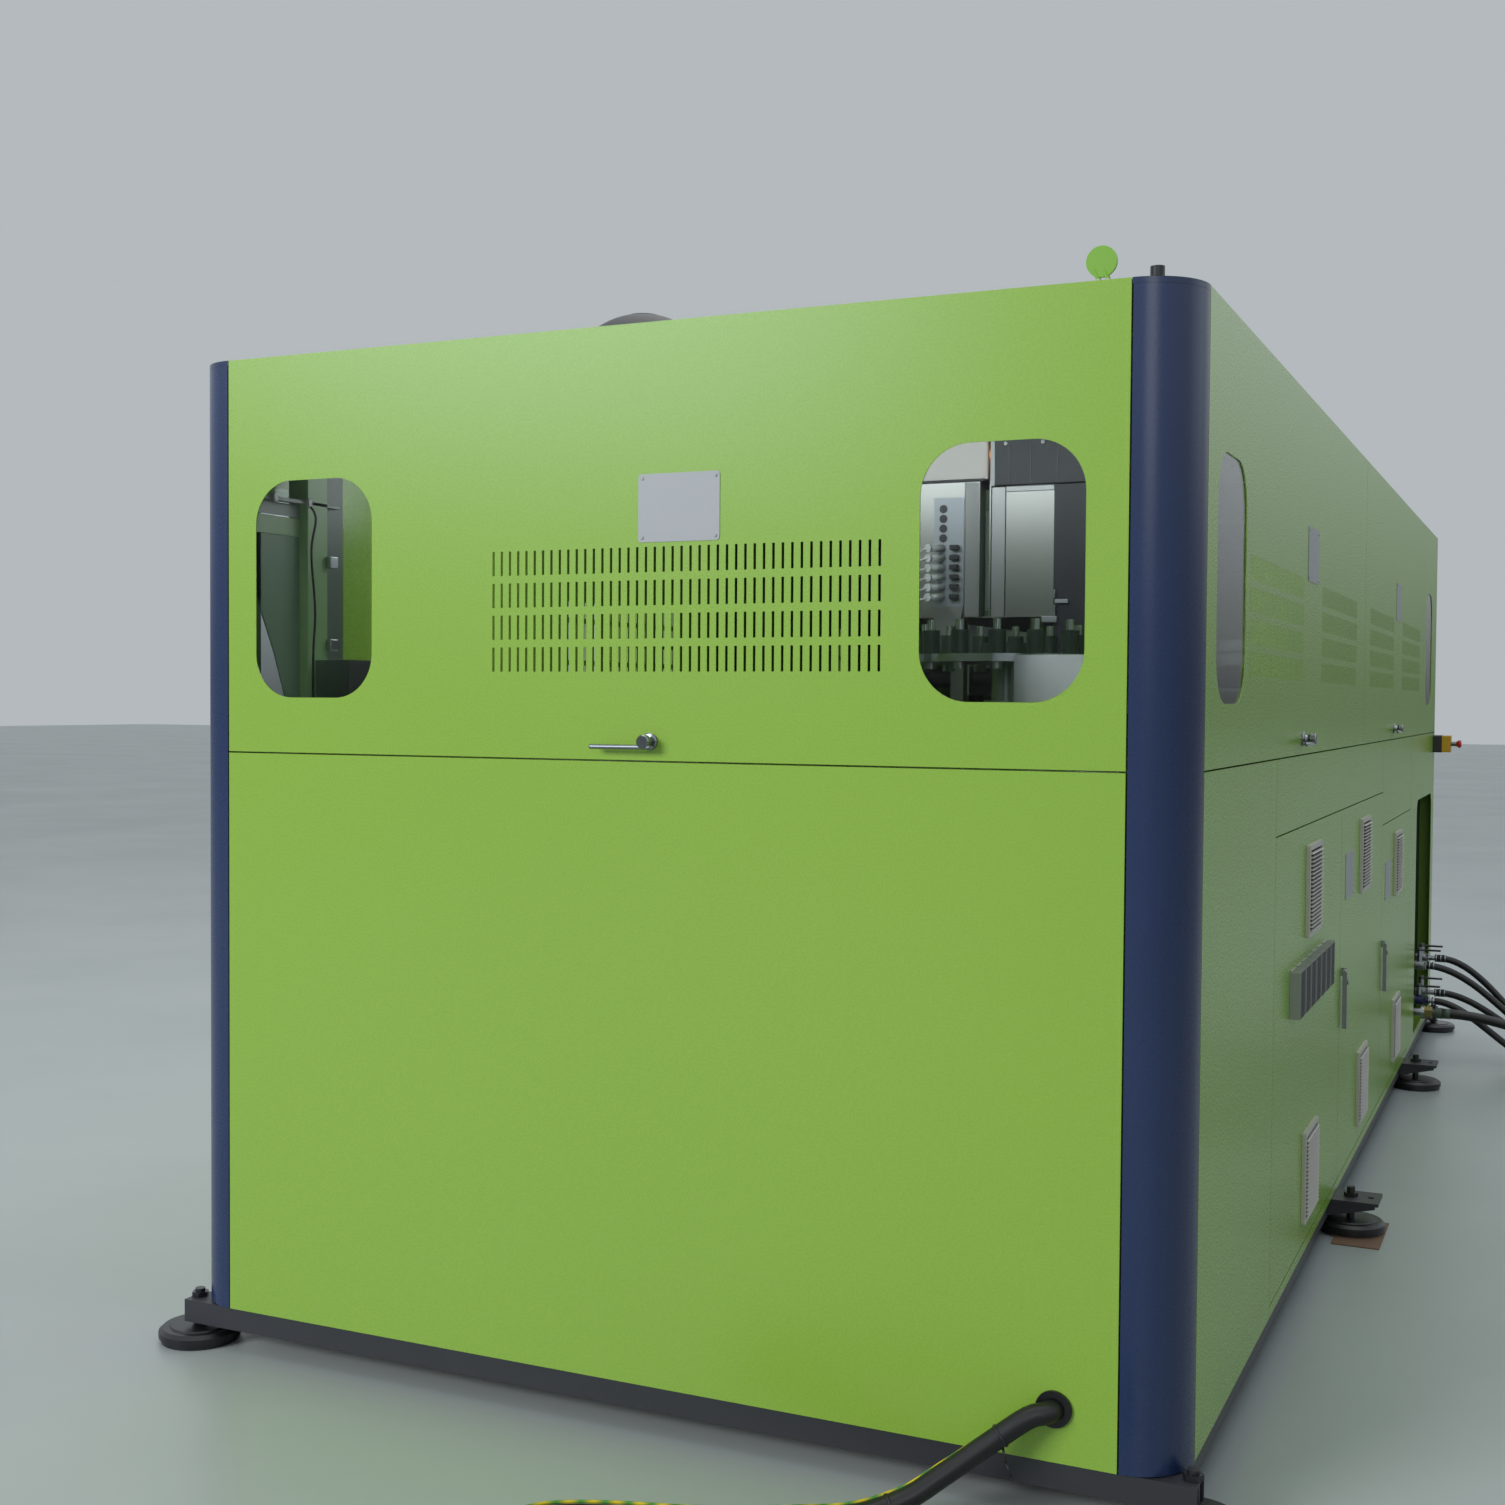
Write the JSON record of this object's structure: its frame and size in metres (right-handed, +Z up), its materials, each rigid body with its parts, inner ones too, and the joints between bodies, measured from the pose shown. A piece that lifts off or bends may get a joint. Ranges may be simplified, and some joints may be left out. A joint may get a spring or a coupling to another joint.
{
  "type": "blow moulding machine",
  "caption": "Enclosed stretch blow moulding machine: green sheet-metal cabin with gull-wing doors, louvred cabinet, roof fan, valves and hoses on levelling feet.",
  "frame": {"origin": "middle of the footprint on the floor, hoses and supply cable left out", "axes": "+X to the right seen from the front, +Y from the front face to the rear, +Z up"},
  "size_m": [2.8073, 5.6123, 2.114],
  "materials": {
    "cabin_green": "satin",
    "post_blue": "satin",
    "base_black": "matte",
    "foot_grey": "matte",
    "cage_green": "satin",
    "fan_black": "satin",
    "machine_grey": "satin",
    "rack_grey": "satin",
    "stainless": "brushed",
    "bright_metal": "polished",
    "alloy": "satin",
    "clear_pane": "clear",
    "grey_plastic": "matte",
    "yellow_plastic": "gloss",
    "red_plastic": "gloss",
    "blue_plastic": "gloss",
    "valve_brass": "satin",
    "black_rubber": "matte"
  },
  "bodies": {
    "cabin": {"base_frame": "base_black", "levelling_feet": "foot_grey", "corner_posts": "post_blue", "cage_frame": "cage_green", "roof_panel": "cabin_green", "roof_fan_housing": "fan_black", "roof_fittings": "rack_grey", "front_lower_panel": "cabin_green", "cable_gland": "black_rubber", "rear_upper_panel": "cabin_green", "rear_lower_panel": "cabin_green", "right_end_panel": "cabin_green", "right_end_pane": "clear_pane", "right_near_panel": "cabin_green", "right_door_frame": "cabin_green", "right_outlet_panel": "cabin_green", "estop_box": "yellow_plastic", "valve_manifold": "valve_brass", "left_upper_panel": "cabin_green", "left_pane": "clear_pane", "left_lower_panel": "cabin_green", "deck": "stainless", "oven_boxes": "stainless", "clamp_frame": "machine_grey", "control_rack": "rack_grey", "supply_conduit": "black_rubber", "supply_connector": "blue_plastic", "hose_1": "black_rubber", "hose_2": "black_rubber", "hose_3": "black_rubber", "hose_4": "black_rubber", "hose_5": "black_rubber", "hose_couplings": "valve_brass"},
    "front_door": {"front_door": "cabin_green", "front_door_panes": "clear_pane"},
    "front_handle": {"front_handle": "bright_metal"},
    "right_door_1": {"right_door_1": "cabin_green", "right_door_1_pane": "clear_pane"},
    "right_handle_1": {"right_handle_1": "bright_metal"},
    "right_door_2": {"right_door_2": "cabin_green"},
    "right_handle_2": {"right_handle_2": "bright_metal"},
    "cabinet_door_1": {"cabinet_door_1": "cabin_green", "louvres_door_1": "grey_plastic", "heat_sinks": "alloy"},
    "cabinet_door_2": {"cabinet_door_2": "cabin_green", "louvres_door_2": "grey_plastic"},
    "swing_handle_2": {"swing_handle_2": "rack_grey"},
    "cabinet_door_3": {"cabinet_door_3": "cabin_green", "louvres_door_3": "grey_plastic"},
    "swing_handle_3": {"swing_handle_3": "rack_grey"},
    "estop_button": {"estop_button": "red_plastic"},
    "valve_lever_1": {"valve_lever_1": "fan_black"},
    "valve_lever_2": {"valve_lever_2": "fan_black"},
    "valve_lever_3": {"valve_lever_3": "fan_black"},
    "valve_lever_4": {"valve_lever_4": "fan_black"},
    "fan_impeller": {"roof_fan_impeller": "alloy"},
    "feed_wheel": {"feed_wheel": "alloy"},
    "mould_left": {"mould_left": "alloy"},
    "mould_right": {"mould_right": "alloy"},
    "blow_carriage": {"blow_carriage": "stainless"}
  },
  "joints": [
    {"name": "front_door_hinge", "type": "hinge", "parent": "cabin", "child": "front_door", "pos_m": [0, -2.4937, 1.978], "axis": [-1, 0, 0], "range_deg": [0, 80]},
    {"name": "front_handle_turn", "type": "hinge", "parent": "front_door", "child": "front_handle", "pos_m": [0.05, -2.5, 1.243], "axis": [0, -1, 0], "range_deg": [0, 90]},
    {"name": "right_door_1_hinge", "type": "hinge", "parent": "cabin", "child": "right_door_1", "pos_m": [0.9937, -1.26875, 1.978], "axis": [0, -1, 0], "range_deg": [0, 80]},
    {"name": "right_handle_1_turn", "type": "hinge", "parent": "right_door_1", "child": "right_handle_1", "pos_m": [1, -1.31, 1.243], "axis": [1, 0, 0], "range_deg": [0, 90]},
    {"name": "right_door_2_hinge", "type": "hinge", "parent": "cabin", "child": "right_door_2", "pos_m": [0.9937, 0.822, 1.978], "axis": [0, -1, 0], "range_deg": [0, 80]},
    {"name": "right_handle_2_turn", "type": "hinge", "parent": "right_door_2", "child": "right_handle_2", "pos_m": [1, 0.70022, 1.243], "axis": [1, 0, 0], "range_deg": [0, 90]},
    {"name": "cabinet_door_1_hinge", "type": "hinge", "parent": "cabin", "child": "cabinet_door_1", "pos_m": [0.994, -1.6315, 0.583], "axis": [0, 0, -1], "range_deg": [0, 110]},
    {"name": "cabinet_door_2_hinge", "type": "hinge", "parent": "cabin", "child": "cabinet_door_2", "pos_m": [0.994, 0.40464, 0.583], "axis": [0, 0, 1], "range_deg": [0, 110]},
    {"name": "swing_handle_2_turn", "type": "hinge", "parent": "cabinet_door_2", "child": "swing_handle_2", "pos_m": [1.008, -0.56275, 0.64], "axis": [0, -1, 0], "range_deg": [0, 60]},
    {"name": "cabinet_door_3_hinge", "type": "hinge", "parent": "cabin", "child": "cabinet_door_3", "pos_m": [0.994, 1.3495, 0.533], "axis": [0, 0, 1], "range_deg": [0, 110]},
    {"name": "swing_handle_3_turn", "type": "hinge", "parent": "cabinet_door_3", "child": "swing_handle_3", "pos_m": [1.008, 0.43814, 0.591], "axis": [0, -1, 0], "range_deg": [0, 60]},
    {"name": "estop_press", "type": "slide", "parent": "cabin", "child": "estop_button", "axis": [-1, 0, 0], "range_m": [0, 0.006], "stiffness_N_per_m": 400},
    {"name": "valve_1_turn", "type": "hinge", "parent": "cabin", "child": "valve_lever_1", "pos_m": [1.005, 1.9, 0.409], "axis": [0, 0, 1], "range_deg": [0, 90]},
    {"name": "valve_2_turn", "type": "hinge", "parent": "cabin", "child": "valve_lever_2", "pos_m": [1.005, 1.8, 0.405], "axis": [0, 0, 1], "range_deg": [0, 90]},
    {"name": "valve_3_turn", "type": "hinge", "parent": "cabin", "child": "valve_lever_3", "pos_m": [1.005, 1.9, 0.287], "axis": [0, 0, 1], "range_deg": [0, 90]},
    {"name": "valve_4_turn", "type": "hinge", "parent": "cabin", "child": "valve_lever_4", "pos_m": [1.005, 1.8, 0.271], "axis": [0, 0, 1], "range_deg": [0, 90]},
    {"name": "fan_spin", "type": "hinge", "parent": "cabin", "child": "fan_impeller", "pos_m": [-0.236, -2, 2.02], "axis": [0, 0, 1], "continuous": true},
    {"name": "feed_wheel_spin", "type": "hinge", "parent": "cabin", "child": "feed_wheel", "pos_m": [0.49, -1.8, 1.4], "axis": [0, 0, 1], "continuous": true},
    {"name": "mould_left_close", "type": "slide", "parent": "cabin", "child": "mould_left", "axis": [1, 0, 0], "range_m": [0, 0.15]},
    {"name": "mould_right_close", "type": "slide", "parent": "cabin", "child": "mould_right", "axis": [-1, 0, 0], "range_m": [0, 0.15]},
    {"name": "blow_carriage_down", "type": "slide", "parent": "cabin", "child": "blow_carriage", "axis": [0, 0, -1], "range_m": [0, 0.04]}
  ],
  "couplings": [
    {"joint": "mould_right_close", "follows": "mould_left_close", "ratio": 1}
  ]
}
